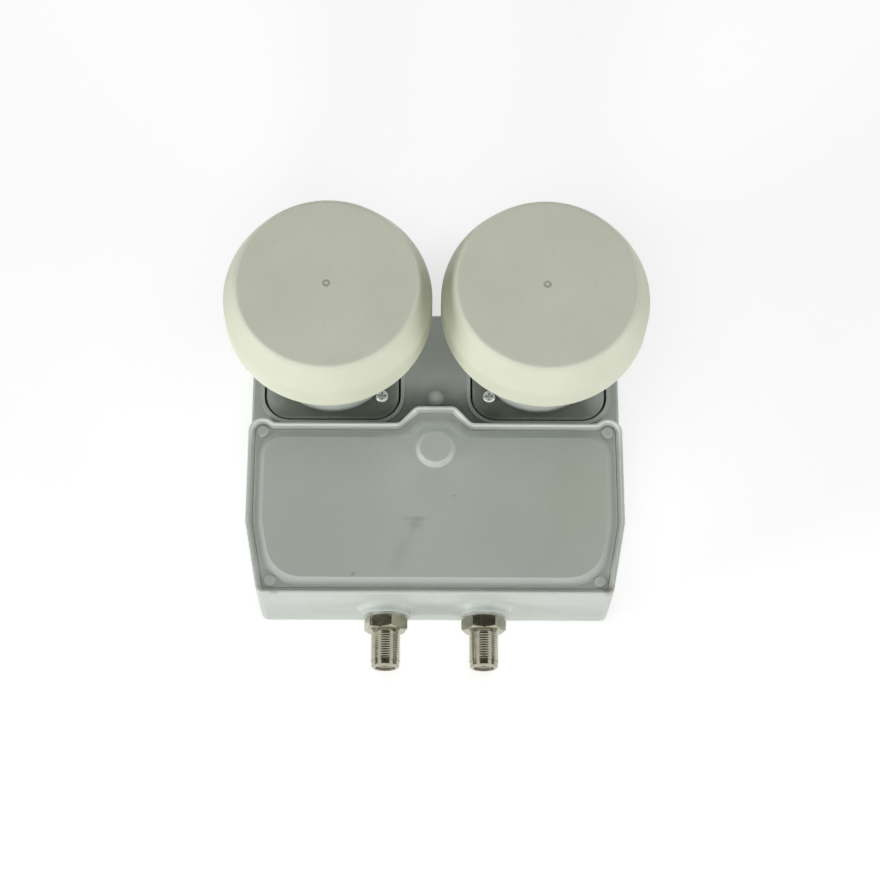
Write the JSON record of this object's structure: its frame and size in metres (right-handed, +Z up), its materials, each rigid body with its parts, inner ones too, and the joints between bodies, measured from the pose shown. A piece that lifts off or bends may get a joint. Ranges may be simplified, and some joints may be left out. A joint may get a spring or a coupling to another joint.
{
  "type": "satellite lnb",
  "caption": "Monoblock satellite low-noise block: cast grey box with an inset front cover, capped feed horns on round clamp necks, and threaded coaxial outlets.",
  "frame": {"origin": "centre of the part's box at the level of the back face, which the part lies on", "axes": "+Z up along the horns, out of the weather caps; +Y away from the coaxial outlets; +X across the horns, to the right as seen in the picture"},
  "size_m": [0.1349, 0.137, 0.0879],
  "materials": {
    "grey_paint": "pale grey paint on die-cast metal, satin, finely textured",
    "cap_plastic": "moulded cream-grey weatherproof plastic, matt",
    "black_rubber": "matt black rubber",
    "zinc_steel": "bright zinc-plated steel",
    "nickel": "nickel plating, slightly dulled",
    "white_insulator": "white insulating plastic",
    "contact_brass": "bright brass",
    "board_laminate": "green circuit laminate",
    "cast_aluminium": "bare cast metal",
    "ceramic": "unglazed tan ceramic",
    "circuit_package": "black moulded circuit package"
  },
  "bodies": {
    "root": {"housing": "grey_paint", "front_cover": "grey_paint", "feed_horn_left": "grey_paint", "feed_horn_right": "grey_paint", "feed_cap_left": "cap_plastic", "feed_cap_right": "cap_plastic", "cover_gasket": "black_rubber", "horn_gasket_left": "black_rubber", "horn_gasket_right": "black_rubber", "cap_seal_left": "black_rubber", "cap_seal_right": "black_rubber", "horn_screws": "zinc_steel", "shield_screws": "zinc_steel", "connector_washer_left": "zinc_steel", "connector_washer_right": "zinc_steel", "connector_body_left": "nickel", "connector_body_right": "nickel", "connector_insulator_left": "white_insulator", "connector_insulator_right": "white_insulator", "straight_probe_sleeve_left": "white_insulator", "straight_probe_sleeve_right": "white_insulator", "bent_probe_sleeve_left": "white_insulator", "bent_probe_sleeve_right": "white_insulator", "connector_contact_left": "contact_brass", "connector_contact_right": "contact_brass", "straight_probe_left": "contact_brass", "straight_probe_right": "contact_brass", "bent_probe_left": "contact_brass", "bent_probe_right": "contact_brass", "tuning_screws": "contact_brass", "circuit_board": "board_laminate", "shield": "cast_aluminium", "low_band_resonator_left": "ceramic", "low_band_resonator_right": "ceramic", "high_band_resonator_left": "ceramic", "high_band_resonator_right": "ceramic", "voltage_regulator_left": "circuit_package", "voltage_regulator_right": "circuit_package", "switch_circuit": "circuit_package", "controller_circuit": "circuit_package"}
  },
  "joints": []
}
